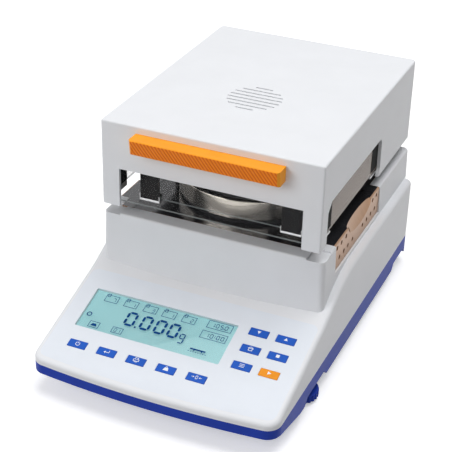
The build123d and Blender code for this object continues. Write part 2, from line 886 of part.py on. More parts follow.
# Hood: an open box with windows in its front and sides, and slots in its roof
hood_mid_y = (hood_front_y + hood_rear_y) / 2
hood_length = hood_rear_y - hood_front_y
with BuildPart() as hood_shell:
    with BuildSketch(Plane.XY.offset(hood_bottom)) as hood_plan:
        with Locations((0, hood_mid_y)):
            Rectangle(hood_width, hood_length)
        fillet(hood_plan.vertices().group_by(Axis.Y)[-1], hood_rear_corner)
        fillet(hood_plan.vertices().group_by(Axis.Y)[0], hood_edge)
    extrude(amount=hood_top - hood_bottom)
    fillet(hood_shell.faces().sort_by(Axis.Z)[-1].edges(), hood_edge)
    with BuildSketch(Plane.XY.offset(hood_bottom)):
        with Locations((0, hood_mid_y)):
            RectangleRounded(hood_width - 2 * hood_wall, hood_length - 2 * hood_wall, 2)
    extrude(amount=hood_top - hood_wall - hood_bottom, mode=Mode.SUBTRACT)
    # front window, open at the bottom
    with BuildSketch(Plane.XZ.offset(-hood_front_y - 2 * hood_wall)) as front_window:
        with Locations((0, hood_bottom - 1)):
            Rectangle(
                2 * front_window_half,
                front_window_top - hood_bottom + 1,
                align=(Align.CENTER, Align.MIN),
            )
    extrude(amount=3 * hood_wall, mode=Mode.SUBTRACT)
    # side windows, chamfered towards the front post
    with BuildSketch(Plane.YZ.offset(-hood_width)) as side_window:
        with BuildLine():
            Polyline(
                (side_window_front_y, hood_bottom - 1),
                (side_window_front_y, side_window_top - side_window_corner),
                (side_window_front_y + side_window_corner, side_window_top),
                (side_window_rear_y - side_window_corner / 2, side_window_top),
                (side_window_rear_y, side_window_top - side_window_corner / 2),
                (side_window_rear_y, hood_bottom + 7),
                (side_window_rear_y - 4, hood_bottom - 1),
                (side_window_front_y, hood_bottom - 1),
            )
        make_face()
    extrude(amount=2 * hood_width, mode=Mode.SUBTRACT)
    # vent: slots whose ends follow a circle
    for number in range(vent_count):
        step = (number - (vent_count - 1) / 2) * vent_pitch
        reach = math.sqrt(vent_radius**2 - step**2)
        with BuildSketch(Plane.XY.offset(hood_top + 1)):
            with Locations((vent_x, vent_y + step)):
                SlotOverall(2 * reach, vent_slot)
        extrude(amount=-hood_wall - 2, mode=Mode.SUBTRACT)
save(hood_shell.part, "hood_shell")

# Grip bar with rounded edges
with BuildPart() as hood_grip:
    with BuildSketch(Plane.YZ.offset(-grip_half)):
        with BuildLine():
            Polyline(
                (hood_front_y, grip_top),
                (hood_front_y - grip_depth, grip_top),
                (hood_front_y - grip_depth + grip_lean, grip_top - grip_height),
                (hood_front_y, grip_top - grip_height),
                (hood_front_y, grip_top),
            )
        make_face()
    extrude(amount=2 * grip_half)
    grip_face = hood_grip.faces().sort_by(Axis.Y)[0]
    chamfer(grip_face.edges().filter_by(lambda e: abs(e.tangent_at(0.5).X) < 0.5), 2.0)
    grip_face = hood_grip.faces().sort_by(Axis.Y)[0]
    fillet(grip_face.edges().filter_by(Axis.X), 1.2)
save(hood_grip.part, "hood_grip")

# Carrier plate: the sheet under the hood's roof that holds the heater, panes and hangers
carrier_half = hood_width / 2 - hood_wall
carrier_front = hood_front_y + hood_wall
carrier_rear = hood_rear_y - hood_wall
with BuildPart() as carrier_plate:
    add(
        box(
            (-carrier_half, carrier_front, carrier_height),
            (carrier_half, carrier_rear, carrier_height + carrier_thick),
        )
    )
    fillet(carrier_plate.edges().filter_by(Axis.Z), 2)
    with Locations((0, ring_y, carrier_height + carrier_thick)):
        Hole(reflector_radius - 4)
save(carrier_plate.part, "carrier_plate")

# Reflector: a shallow spun bowl, open below, with a flange on the carrier plate
with BuildPart() as reflector:
    with BuildSketch(Plane.XZ.offset(-ring_y)) as bowl:
        with BuildLine():
            base = carrier_height + carrier_thick
            rim = Polyline((reflector_radius + 4, base), (reflector_radius - 4, base))
            dome = Spline(
                (reflector_radius - 4, base),
                (reflector_radius * 0.62, base + reflector_rise * 0.85),
                (12, base + reflector_rise),
                tangents=[(-0.4, 1), (-1, 0)],
            )
            rim_top = Polyline((12, base + reflector_rise), (12, base + reflector_rise + 1))
            outer_dome = Spline(
                (12, base + reflector_rise + 1),
                (reflector_radius * 0.62 + 0.7, base + reflector_rise * 0.85 + 0.9),
                (reflector_radius - 2.8, base + 1),
                tangents=[(1, 0), (0.4, -1)],
            )
            Polyline(
                (reflector_radius - 2.8, base + 1),
                (reflector_radius + 4, base + 1),
                (reflector_radius + 4, base),
            )
        make_face()
    revolve(axis=Axis((0, ring_y, 0), (0, 0, 1)))
save(reflector.part, "reflector")

# Ring lamp: most of a circle of quartz tube, with both ends pinched into holders
with BuildPart() as halogen_lamp:
    with BuildLine() as lamp_path:
        CenterArc((0, ring_y, lamp_height), lamp_radius, 105, 330)
    with BuildSketch(Plane(origin=lamp_path.line @ 0, z_dir=lamp_path.line % 0)):
        Circle(lamp_tube)
    sweep(path=lamp_path.line)
save(halogen_lamp.part, "halogen_lamp")

with BuildPart() as lamp_holders:
    for end_angle in (75, 105):
        angle = math.radians(end_angle)
        x = lamp_radius * math.cos(angle)
        y = ring_y + lamp_radius * math.sin(angle)
        turn = end_angle
        block = Pos(x, y, 0) * Rot(0, 0, turn) * box((-7, -5, lamp_height - 5.5), (7, 5, carrier_height))
        shift = 5.3 if end_angle == 75 else -5.3
        dx = shift * math.sin(angle)
        dy = -shift * math.cos(angle)
        add(Pos(-dx, -dy, 0) * block)
save(lamp_holders.part, "lamp_holders")

# Protective glass under the lamp, on three clips that hang from the carrier plate
with BuildPart() as protective_glass:
    with BuildSketch(Plane.XY.offset(glass_height)):
        with Locations((0, ring_y)):
            Circle(glass_radius)
    extrude(amount=glass_thick)
    chamfer(protective_glass.edges(), 0.4)
save(protective_glass.part, "protective_glass")

with BuildPart() as glass_clips:
    for number in range(3):
        angle = 120 * number
        clip_line = [
            (glass_radius - 5, glass_height - 0.7),
            (glass_radius + 1, glass_height - 0.7),
            (glass_radius + 1, carrier_height - 0.7),
            (glass_radius + 9, carrier_height - 0.7),
        ]
        out_x = math.cos(math.radians(angle))
        out_y = math.sin(math.radians(angle))
        clip_plane = Plane(origin=(0, ring_y, 0), x_dir=(out_x, out_y, 0), z_dir=(out_y, -out_x, 0))
        with BuildSketch(clip_plane):
            with BuildLine():
                bent = Polyline(*clip_line)
                offset(bent, amount=0.6, closed=True, kind=Kind.INTERSECTION)
            make_face()
        extrude(amount=5, both=True)
save(glass_clips.part, "glass_clips")

# Temperature sensor beside the pan's heat
with BuildPart() as temperature_sensor:
    with BuildSketch(Plane.XY.offset(glass_height - 9)):
        with Locations((0, ring_y + glass_radius + 8)):
            Circle(2.2)
    extrude(amount=carrier_height - glass_height + 9)
    fillet(temperature_sensor.edges().group_by(Axis.Z)[0], 2.0)
save(temperature_sensor.part, "temperature_sensor")


def pane(low, high, name):
    """A flat clear pane with eased edges."""
    with BuildPart() as sheet:
        add(box(low, high))
        chamfer(sheet.edges(), 0.3)
    save(sheet.part, name)


outer_pane_y = hood_front_y + hood_wall + 0.2
pane_top = carrier_height
pane(
    (-carrier_half + 5, outer_pane_y, outer_pane_bottom),
    (carrier_half - 5, outer_pane_y + pane_thick, pane_top),
    "front_pane",
)
pane(
    (-inner_pane_half, inner_pane_y, inner_pane_bottom),
    (inner_pane_half, inner_pane_y + pane_thick, pane_top),
    "inner_pane",
)
for side, name in ((-1, "left_pane"), (1, "right_pane")):
    inner = side * (carrier_half - 0.2 - pane_thick)
    outer = side * (carrier_half - 0.2)
    pane(
        (min(inner, outer), side_pane_front_y, side_pane_bottom),
        (max(inner, outer), side_pane_rear_y, pane_top),
        name,
    )

# Black hangers: bent straps with a hooked foot that carries the lower edge of a pane
with BuildPart() as pane_hangers:
    for side in (-1, 1):
        strap_y = inner_pane_y - hanger_thick - 0.1
        low_x = side * hanger_x - hanger_width / 2
        high_x = side * hanger_x + hanger_width / 2
        add(box((low_x, strap_y, hanger_bottom), (high_x, strap_y + hanger_thick, carrier_height)))
        hook_rear = inner_pane_y + pane_thick + hanger_thick + 0.1
        hook_low = (low_x, strap_y, hanger_bottom)
        hook_high = (high_x, hook_rear, inner_pane_bottom - 0.1)
        add(box(hook_low, hook_high))
        tip_high = (high_x, hook_rear, inner_pane_bottom + 4)
        add(box((low_x, hook_rear - hanger_thick, hanger_bottom), tip_high))
    chamfer(pane_hangers.edges().filter_by(Axis.Y).group_by(Axis.Z)[0], 1.2)
save(pane_hangers.part, "pane_hangers")

with BuildPart() as side_straps:
    for side in (-1, 1):
        # front and rear straps on the inner face of each side pane
        inner = side * (carrier_half - 0.3 - pane_thick)
        deep = side * (carrier_half - 0.3 - pane_thick - hanger_thick)
        for low_y, high_y in (
            (side_pane_front_y + 2, side_pane_front_y + 12),
            (side_pane_rear_y - 24, side_pane_rear_y - 2),
        ):
            strap = box(
                (min(inner, deep), low_y, side_pane_bottom - 3),
                (max(inner, deep), high_y, carrier_height),
            )
            add(strap)
            hook = box(
                (min(deep, side * carrier_half), low_y, side_pane_bottom - 3),
                (max(deep, side * carrier_half), high_y, side_pane_bottom - 0.1),
            )
            add(hook)
save(side_straps.part, "side_straps")

# Hinges: a leaf on the hood, a leaf on the surround and a pin, at the left and at the right
hinge_sides = (-hinge_x, hinge_x)
with BuildPart() as hinge_pins:
    for middle in hinge_sides:
        with BuildSketch(Plane.YZ.offset(middle - hinge_half)):
            with Locations((hinge_y, hinge_height)):
                Circle(hinge_pin_radius)
        extrude(amount=2 * hinge_half)
save(hinge_pins.part, "hinge_pins")

leaf_rear_y = hood_rear_y - hood_wall
with BuildPart() as hood_leaves:
    for middle in hinge_sides:
        # middle knuckle, with its leaf on the inside of the hood's rear wall
        with BuildSketch(Plane.YZ.offset(middle - knuckle_length / 2)):
            with Locations((hinge_y, hinge_height)):
                Circle(knuckle_radius)
            with Locations((leaf_rear_y, hinge_height)):
                Rectangle(leaf_thick, 20, align=(Align.MAX, Align.MIN))
            with Locations((hinge_y, hinge_height)):
                Circle(hinge_pin_radius, mode=Mode.SUBTRACT)
        extrude(amount=knuckle_length)
        leaf_low = (middle - hinge_half, leaf_rear_y - leaf_thick, hinge_height + 4.2)
        leaf_high = (middle + hinge_half, leaf_rear_y, hinge_height + 25)
        add(box(leaf_low, leaf_high))
save(hood_leaves.part, "hood_leaves")

with BuildPart() as base_leaves:
    for middle in hinge_sides:
        for low_x in (middle - hinge_half, middle + hinge_half - knuckle_length):
            with BuildSketch(Plane.YZ.offset(low_x)):
                with Locations((hinge_y, hinge_height)):
                    Circle(knuckle_radius)
                with Locations((hinge_y - knuckle_radius, hinge_height)):
                    Rectangle(
                        knuckle_radius + leaf_thick,
                        hinge_height - ledge_height,
                        align=(Align.MIN, Align.MAX),
                    )
                with Locations((hinge_y, hinge_height)):
                    Circle(hinge_pin_radius + running_gap, mode=Mode.SUBTRACT)
            extrude(amount=knuckle_length)
        foot_low = (middle - hinge_half, hinge_y - 20, ledge_height)
        foot_high = (middle + hinge_half, hinge_y + leaf_thick, ledge_height + leaf_thick)
        add(box(foot_low, foot_high))
save(base_leaves.part, "base_leaves")
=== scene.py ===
import bmesh
import bpy
import math
from mathutils import Matrix, Vector


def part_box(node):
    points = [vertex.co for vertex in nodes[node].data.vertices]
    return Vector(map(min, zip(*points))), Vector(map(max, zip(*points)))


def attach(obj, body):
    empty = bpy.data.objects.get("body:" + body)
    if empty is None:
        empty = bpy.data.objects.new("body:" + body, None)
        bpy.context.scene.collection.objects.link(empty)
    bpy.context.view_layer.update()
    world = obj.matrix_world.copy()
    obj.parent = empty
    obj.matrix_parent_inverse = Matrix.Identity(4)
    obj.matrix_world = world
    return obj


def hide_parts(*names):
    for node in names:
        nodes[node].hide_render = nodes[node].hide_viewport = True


# A moisture analyzer, seen at the photo's angle.
# Lengths are in metres, except for what is drawn on the panel, which is in millimetres.
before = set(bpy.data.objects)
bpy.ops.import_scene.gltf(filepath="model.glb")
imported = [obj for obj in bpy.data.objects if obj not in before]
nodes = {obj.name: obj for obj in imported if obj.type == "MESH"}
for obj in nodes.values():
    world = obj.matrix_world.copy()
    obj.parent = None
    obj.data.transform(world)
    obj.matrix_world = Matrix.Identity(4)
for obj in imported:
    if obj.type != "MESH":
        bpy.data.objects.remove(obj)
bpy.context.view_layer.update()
MM = 0.001

# The panel's plane, in millimetres, as in the CAD source
PANEL_ANGLE = math.radians(16.5)
PANEL_ORIGIN = Vector((0.0, -113.6, 53.3))
PANEL_UP = Vector((0.0, math.cos(PANEL_ANGLE), math.sin(PANEL_ANGLE)))
PANEL_NORMAL = Vector((0.0, -math.sin(PANEL_ANGLE), math.cos(PANEL_ANGLE)))


def on_panel(x, up, out):
    """A place on the panel, in metres, from millimetres across, up and out of it."""
    return (PANEL_ORIGIN + Vector((x, 0, 0)) + PANEL_UP * up + PANEL_NORMAL * out) * MM


# Materials
RAMP_ENDS = (0.3, 0.7)
NOISE_DETAIL = 4.0
ROUGH_SWING = 0.05
LEAST_ROUGH = 0.02
FINE_GRAIN = 14
GRAIN_DEPTH = 0.0003
GLASS_IOR = 1.5
SMEAR = (0.8, 1.2)
RIM_BLEND, RIM_POWER = 0.5, 4.0


def first_node(tree, kind):
    """The first node of a kind in a tree."""
    return next(n for n in tree.nodes if n.bl_idname == kind)


def material(
    name, color, rough, metal=0.0, spread=0.04, scale=60.0, bump=0.0, grain=None, coat=0.0,
    shine=0.5,
):
    """A surface whose colour, roughness and relief vary a little over it."""
    m = bpy.data.materials.new(name)
    m.use_nodes = True
    tree = m.node_tree
    shader = tree.nodes["Principled BSDF"]
    coords = tree.nodes.new("ShaderNodeTexCoord")
    mapping = tree.nodes.new("ShaderNodeMapping")
    noise = tree.nodes.new("ShaderNodeTexNoise")
    ramp = tree.nodes.new("ShaderNodeValToRGB")
    rough_map = tree.nodes.new("ShaderNodeMapRange")
    tree.links.new(coords.outputs["Object"], mapping.inputs["Vector"])
    if grain:
        mapping.inputs["Scale"].default_value = grain
    tree.links.new(mapping.outputs["Vector"], noise.inputs["Vector"])
    noise.inputs["Scale"].default_value = scale
    noise.inputs["Detail"].default_value = NOISE_DETAIL
    low = [max(0.0, c * (1 - spread)) for c in color]
    high = [min(1.0, c * (1 + spread)) for c in color]
    for element, position, tone in zip(ramp.color_ramp.elements, RAMP_ENDS, (low, high)):
        element.position = position
        element.color = (*tone, 1)
    tree.links.new(noise.outputs["Fac"], ramp.inputs["Fac"])
    tree.links.new(ramp.outputs["Color"], shader.inputs["Base Color"])
    rough_map.inputs["To Min"].default_value = max(LEAST_ROUGH, rough - ROUGH_SWING)
    rough_map.inputs["To Max"].default_value = rough + ROUGH_SWING
    tree.links.new(noise.outputs["Fac"], rough_map.inputs["Value"])
    tree.links.new(rough_map.outputs["Result"], shader.inputs["Roughness"])
    shader.inputs["Metallic"].default_value = metal
    shader.inputs["Coat Weight"].default_value = coat
    shader.inputs["Specular IOR Level"].default_value = shine
    if bump:
        relief = tree.nodes.new("ShaderNodeBump")
        fine = tree.nodes.new("ShaderNodeTexNoise")
        fine.inputs["Scale"].default_value = scale * FINE_GRAIN
        tree.links.new(mapping.outputs["Vector"], fine.inputs["Vector"])
        tree.links.new(fine.outputs["Fac"], relief.inputs["Height"])
        relief.inputs["Strength"].default_value = bump
        relief.inputs["Distance"].default_value = GRAIN_DEPTH
        tree.links.new(relief.outputs["Normal"], shader.inputs["Normal"])
    return m


def clear(name, tint, alpha, rough=0.03, shine=0.5):
    """A thin clear pane: see-through, denser where it is seen edge-on, with a faint smear."""
    m = material(name, tint, rough, spread=0.03, scale=25.0, shine=shine)
    tree = m.node_tree
    shader = tree.nodes["Principled BSDF"]
    shader.inputs["IOR"].default_value = GLASS_IOR
    fade = tree.nodes.new("ShaderNodeMapRange")
    fade.inputs["To Min"].default_value = alpha * SMEAR[0]
    fade.inputs["To Max"].default_value = alpha * SMEAR[1]
    tree.links.new(first_node(tree, "ShaderNodeTexNoise").outputs["Fac"], fade.inputs["Value"])
    facing = tree.nodes.new("ShaderNodeLayerWeight")
    facing.inputs["Blend"].default_value = RIM_BLEND
    rim = tree.nodes.new("ShaderNodeMath")
    rim.operation = "POWER"
    rim.inputs[1].default_value = RIM_POWER
    tree.links.new(facing.outputs["Facing"], rim.inputs[0])
    both = tree.nodes.new("ShaderNodeMath")
    both.operation = "ADD"
    both.use_clamp = True
    tree.links.new(fade.outputs["Result"], both.inputs[0])
    tree.links.new(rim.outputs["Value"], both.inputs[1])
    tree.links.new(both.outputs["Value"], shader.inputs["Alpha"])
    return m


def glow(m, color, strength):
    """Adds a weak light of its own to a surface."""
    shader = m.node_tree.nodes["Principled BSDF"]
    shader.inputs["Emission Color"].default_value = (*color, 1)
    shader.inputs["Emission Strength"].default_value = strength
    return m


# Painted and moulded plastic
white = material(
    "white_case", (0.80, 0.812, 0.838), 0.30, spread=0.012, scale=40, bump=0.04, shine=0.06
)
film = material(
    "overlay_film", (0.78, 0.82, 0.88), 0.32, spread=0.012, scale=50, bump=0.03, shine=0.06
)
blue = material(
    "blue_plastic", (0.018, 0.050, 0.38), 0.42, spread=0.08, scale=50, bump=0.08, shine=0.08
)
key_blue = material(
    "key_blue", (0.018, 0.105, 0.52), 0.45, spread=0.06, scale=80, bump=0.03, shine=0.15
)
key_orange = material(
    "key_orange", (0.86, 0.30, 0.012), 0.40, spread=0.05, scale=80, bump=0.03, shine=0.2
)
orange = material(
    "orange_grip", (0.93, 0.36, 0.022), 0.40, spread=0.05, scale=60, bump=0.05, shine=0.15
)
black = material(
    "black_plastic", (0.018, 0.018, 0.02), 0.45, spread=0.25, scale=70, bump=0.08, shine=0.25
)
rubber = material("rubber", (0.02, 0.02, 0.02), 0.75, spread=0.2, scale=90, bump=0.15)
board = material("board", (0.02, 0.16, 0.07), 0.4, spread=0.2, scale=90)
ceramic = material("ceramic", (0.78, 0.74, 0.66), 0.6, spread=0.05, scale=90, bump=0.1)

# The display and what is printed
teal = material("display_panel", (0.40, 0.63, 0.65), 0.5, spread=0.07, scale=12, shine=0.1)
glow(teal, (0.40, 0.64, 0.66), 0.28)
ink = material("display_ink", (0.003, 0.055, 0.21), 0.7, spread=0.2, scale=200, shine=0.1)
white_ink = material("white_ink", (0.86, 0.88, 0.92), 0.4, spread=0.03, scale=200)

# Metal: some of it is brushed, along the axes whose scale stays at 1
# The floor plate is polished steel; its warm tan colour is a painted reflection of the room
plate_painted_warm_reflection = material(
    "beige_steel", (0.41, 0.255, 0.165), 0.34, 0.6, 0.06, 30, 0.05, (1, 12, 1), shine=0.2
)
# The plate's upper side is polished steel; its dark colour is a painted reflection of dark
# surroundings
plate_top_painted_dark_reflection = material("plate_top_painted_dark_reflection", (0.050, 0.050, 0.057), 0.13, 0.6, 0.2, 30, 0.02, coat=0.5)
steel = material("polished_steel", (0.60, 0.56, 0.50), 0.19, 1.0, 0.07, 20, 0.04, (1, 1, 30))
bright = material("bright_steel", (0.70, 0.70, 0.71), 0.28, 1.0, 0.05, 60, 0.03)
foil = material("pan_aluminium", (0.76, 0.76, 0.77), 0.30, 1.0, 0.06, 45, 0.08)
brass = material("brass", (0.62, 0.45, 0.16), 0.3, 1.0, 0.06, 80)
sheet_black = material(
    "black_sheet", (0.009, 0.008, 0.009), 0.35, spread=0.3, scale=60, bump=0.05, shine=0.15
)
strap_black = material(
    "strap_black", (0.006, 0.006, 0.006), 0.75, spread=0.3, scale=60, bump=0.05, shine=0.1
)

# Glass and other clear pieces
pane = clear("pane_glass", (0.03, 0.035, 0.035), 0.04)
# The right side pane is clear glass; its brown tint is a painted reflection of the room
pane_painted_brown_reflection = clear("right_glass_painted_reflection", (0.20, 0.125, 0.075), 0.50, 0.05, shine=0.2)
# Pane edges: pale glass, partly the edge's own tint and partly a painted highlight
edge_glass = clear("pane_edge", (0.55, 0.60, 0.60), 0.55, 0.12)
cover = clear("display_clear", (0.30, 0.45, 0.45), 0.05, 0.12)
quartz = clear("quartz", (0.50, 0.52, 0.55), 0.22, 0.05)

# What each CAD node is made of. Other keys are blue, foot pads are rubber, and the rest is
# blue plastic
surfaces = {
    "upper_case": white, "chamber_surround": white, "hood_shell": white, "panel_overlay": film,
    "lower_tray": blue, "hood_grip": orange, "display_cover": cover, "display_module": teal,
    "key_board": board, "main_board": board, "power_supply": board, "floor_plate": plate_painted_warm_reflection,
    "heat_tub": foil, "ring_seat": black, "cell_mount": foil, "load_cell": foil,
    "mains_inlet": black, "switch_frame": black, "data_socket": bright, "foot_inserts": brass,
    "base_leaves": bright, "carrier_plate": sheet_black, "reflector": foil,
    "halogen_lamp": quartz, "lamp_holders": ceramic, "protective_glass": pane,
    "glass_clips": bright, "front_pane": pane, "inner_pane": pane, "left_pane": pane,
    # the right pane's brown tint is a painted reflection
    "right_pane": pane_painted_brown_reflection, "pane_hangers": sheet_black, "side_straps": sheet_black,
    "temperature_sensor": bright, "hood_leaves": bright, "hinge_pins": bright,
    "draft_ring": steel, "sample_pan": foil, "pan_support": bright, "weighing_shaft": bright,
    "power_switch": black, "key_start": key_orange,
}
for name, o in nodes.items():
    if name in surfaces:
        skin = surfaces[name]
    elif name.startswith("key_"):
        skin = key_blue
    elif name.startswith("foot_pad"):
        skin = rubber
    else:
        skin = blue
    o.data.materials.clear()
    o.data.materials.append(skin)


def split_by_face(o, second, wanted):
    """Gives the faces that pass the test a second material."""
    o.data.materials.append(second)
    index = len(o.data.materials) - 1
    for face in o.data.polygons:
        if wanted(face):
            face.material_index = index


def mesh_object(name, mesh):
    """Adds a mesh to the scene."""
    o = bpy.data.objects.new(name, mesh)
    bpy.context.scene.collection.objects.link(o)
    return o


def mesh_from(name, made):
    """Turns a finished bmesh into a mesh, and frees it."""
    mesh = bpy.data.meshes.new(name)
    made.to_mesh(mesh)
    made.free()
    return mesh


def combine(base, other, operation):
    """Joins or cuts two closed meshes, and leaves one plain mesh."""
    modifier = base.modifiers.new("join", "BOOLEAN")
    modifier.operation = operation
    modifier.solver = "EXACT"
    modifier.object = other
    graph = bpy.context.evaluated_depsgraph_get()
    result = bpy.data.meshes.new_from_object(base.evaluated_get(graph))
    base.modifiers.clear()
    base.data = result
    bpy.data.objects.remove(other)


# The floor plate as pressed: folded, perforated edges with a finger scoop at each side
FLANGE_FRONT, FLANGE_REAR = -0.0306, 0.0879
SHEET = 0.0012
FOLD = 0.0015
FOLD_STEPS = 8
SCOOP_Y, SCOOP_HALF = 0.0339, 0.0305
SCOOP_IN, SCOOP_DOWN = 0.0050, 0.0110
SCOOP_STEPS = 25
SCOOP_BLEND = 2.5
STRAIGHT_SHARE, HOLLOW_SHARE = 0.7, 0.3
FLAT_MARGIN = 0.002
FRONT_LOOP, REAR_LOOP = 0.015, 0.01
HOLE_RADIUS = 0.0022
HOLE_SIDES = 20
HOLE_BAR = 0.008
TOP_ROW_DOWN, LOW_ROW_DOWN = 0.0048, 0.0173
TOP_HOLES_Y = (-0.0256, -0.0146, -0.0026, 0.0084, 0.0694, 0.0804)
LOW_HOLES_Y = (-0.0180, -0.0066, 0.0040, 0.0160, 0.0434, 0.0549, 0.0664, 0.0774)
SHAFT_HOLE_RADIUS = 0.007
SHAFT_BAR = 0.01
PLATE_SIDE = 0.092
PLATE_PROBE_X = 0.03
LEVEL_NORMAL = 0.98
TOP_TOLERANCE = 0.0003
plate_low, plate_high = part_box("floor_plate")
fold_x, plate_top, flange_low = plate_high.x, plate_high.z, plate_low.z


def scoop_share(y):
    """How deep the scoop is at a distance along Y, from 0 to 1."""
    t = (y - SCOOP_Y) / SCOOP_HALF
    return math.sqrt(1 - t * t) if abs(t) < 1 else 0.0


def plate_profile(y):
    """Half of the sheet's section, from the middle of the plate to the flange's lower edge."""
    share = scoop_share(y)
    across = FOLD + (SCOOP_IN - FOLD) * share
    down = FOLD + (SCOOP_DOWN - FOLD) * share
    points = [(0.0, plate_top), (fold_x - SCOOP_IN - FLAT_MARGIN, plate_top)]
    for step in range(FOLD_STEPS + 1):
        a = math.radians(90 * step / FOLD_STEPS)
        convex = (fold_x - across + across * math.sin(a), plate_top - down + down * math.cos(a))
        straight = (fold_x - across * (1 - step / FOLD_STEPS), plate_top - down * step / FOLD_STEPS)
        hollow = (fold_x - across * math.cos(a), plate_top - down * math.sin(a))
        pressed = [STRAIGHT_SHARE * p + HOLLOW_SHARE * q for p, q in zip(straight, hollow)]
        mix = min(1.0, share * SCOOP_BLEND)
        points.append(tuple(c + (q - c) * mix for c, q in zip(convex, pressed)))
    points.append((fold_x, flange_low))
    return points


def rods(name, places, radius, length, axis):
    """Round bars along X or Z, as one mesh, to cut holes with."""
    cutter = bmesh.new()
    turn = Matrix.Rotation(math.radians(90), 4, "Y") if axis == "X" else Matrix.Identity(4)
    for place in places:
        bmesh.ops.create_cone(
            cutter, cap_ends=True, segments=HOLE_SIDES, radius1=radius, radius2=radius,
            depth=length, matrix=Matrix.Translation(place) @ turn,
        )
    return mesh_object(name, mesh_from(name, cutter))


def folded_sheet():
    """The sheet between the ends of its flanges, with its folds and scoops."""
    stations = {FLANGE_FRONT, FLANGE_REAR, SCOOP_Y}
    for step in range(1, SCOOP_STEPS):
        stations.add(SCOOP_Y - SCOOP_HALF * math.cos(math.pi * step / SCOOP_STEPS))
    stations |= {FLANGE_FRONT + FRONT_LOOP, FLANGE_REAR - REAR_LOOP}
    stations |= {SCOOP_Y - SCOOP_HALF, SCOOP_Y + SCOOP_HALF}
    sheet = bmesh.new()
    rows = []
    for y in sorted(stations):
        half = plate_profile(y)
        section = [(-x, z) for x, z in half[:0:-1]] + half
        rows.append([sheet.verts.new((x, y, z)) for x, z in section])
    for near, far in zip(rows, rows[1:]):
        for a, b, c, d in zip(near, near[1:], far[1:], far):
            sheet.faces.new((a, b, c, d))
    bmesh.ops.recalc_face_normals(sheet, faces=sheet.faces)
    middle = min(sheet.faces, key=lambda f: abs(f.calc_center_median().x - PLATE_PROBE_X))
    if middle.normal.z < 0:
        bmesh.ops.reverse_faces(sheet, faces=sheet.faces)
    bmesh.ops.solidify(sheet, geom=sheet.faces[:], thickness=SHEET)
    return mesh_object("pressed_floor_plate", mesh_from("pressed_floor_plate", sheet))


def on_painted_dark_reflection_top(face):
    """Whether a face lies on the plate's upper side, inside the folds, where the steel gets a
    painted dark reflection.
    """
    edge = fold_x - FOLD - (SCOOP_IN - FOLD) * scoop_share(face.center.y)
    level = face.normal.z > LEVEL_NORMAL and face.center.z > plate_top - TOP_TOLERANCE
    return level and abs(face.center.x) < edge


def pressed_plate():
    """The whole plate, with its flat ends and holes."""
    plate = folded_sheet()
    for start, end in ((plate_low.y, FLANGE_FRONT), (FLANGE_REAR, plate_high.y)):
        strip = bmesh.new()
        size = Matrix.Diagonal((2 * PLATE_SIDE, end - start, SHEET, 1))
        centre = Vector((0, (start + end) / 2, plate_top - SHEET / 2))
        bmesh.ops.create_cube(strip, size=1, matrix=Matrix.Translation(centre) @ size)
        combine(plate, mesh_object("plate_end", mesh_from("plate_end", strip)), "UNION")
    holes = []
    for x in (-fold_x, fold_x):
        holes += [(x, y, plate_top - TOP_ROW_DOWN) for y in TOP_HOLES_Y]
        holes += [(x, y, plate_top - LOW_ROW_DOWN) for y in LOW_HOLES_Y]
    combine(plate, rods("hole_bars", holes, HOLE_RADIUS, HOLE_BAR, "X"), "DIFFERENCE")
    ring_middle = (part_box("draft_ring")[0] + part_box("draft_ring")[1]) / 2
    shaft_place = [(0, ring_middle.y, plate_top)]
    combine(plate, rods("shaft_bar", shaft_place, SHAFT_HOLE_RADIUS, SHAFT_BAR, "Z"), "DIFFERENCE")
    plate.data.materials.clear()
    # The plate's steel, with the painted warm reflection
    plate.data.materials.append(plate_painted_warm_reflection)
    # The upper side inside the folds gets the painted dark reflection
    split_by_face(plate, plate_top_painted_dark_reflection, on_painted_dark_reflection_top)
    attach(plate, "base")
    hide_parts("floor_plate")


pressed_plate()

# Blocks keep at least 0.4 of their least side between two eased edges
MOST_EASE = 0.3


def boxes_piece(name, boxes, bevel, skin, body):
    """One mesh of eased blocks, each given by its low and high corner."""
    blocks = bmesh.new()
    for low, high in boxes:
        low, high = Vector(low), Vector(high)
        size = high - low
        matrix = Matrix.Translation((low + high) / 2) @ Matrix.Diagonal((*size, 1))
        made = bmesh.ops.create_cube(blocks, size=1, matrix=matrix)
        edges = {e for v in made["verts"] for e in v.link_edges}
        ease = min(bevel, min(size) * MOST_EASE)
        bmesh.ops.bevel(blocks, geom=list(edges), offset=ease, segments=2, affect="EDGES")
    o = mesh_object(name, mesh_from(name, blocks))
    o.data.materials.append(skin)
    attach(o, body)
    return o


# Straps that carry the side panes: each lies on both faces of its pane and ends in a bright hook
STRAP_THICK = 0.0016
STRAP_SKIN = 0.00012
STRAP_GAP, SKIN_GAP = 0.0001, 0.00003
STRAP_PLACES_Y = ((-0.0556, -0.0336), (0.0715, 0.0935))
HOOK_HEIGHT = 0.0040
STRAP_EASE, HOOK_EASE = 0.0002, 0.0003


def mirrored_box(side, near, far, low_y, high_y, low_z, high_z):
    """A box between two distances from the middle, on the left (-1) or the right (1)."""
    low_x, high_x = sorted((side * near, side * far))
    return (low_x, low_y, low_z), (high_x, high_y, high_z)


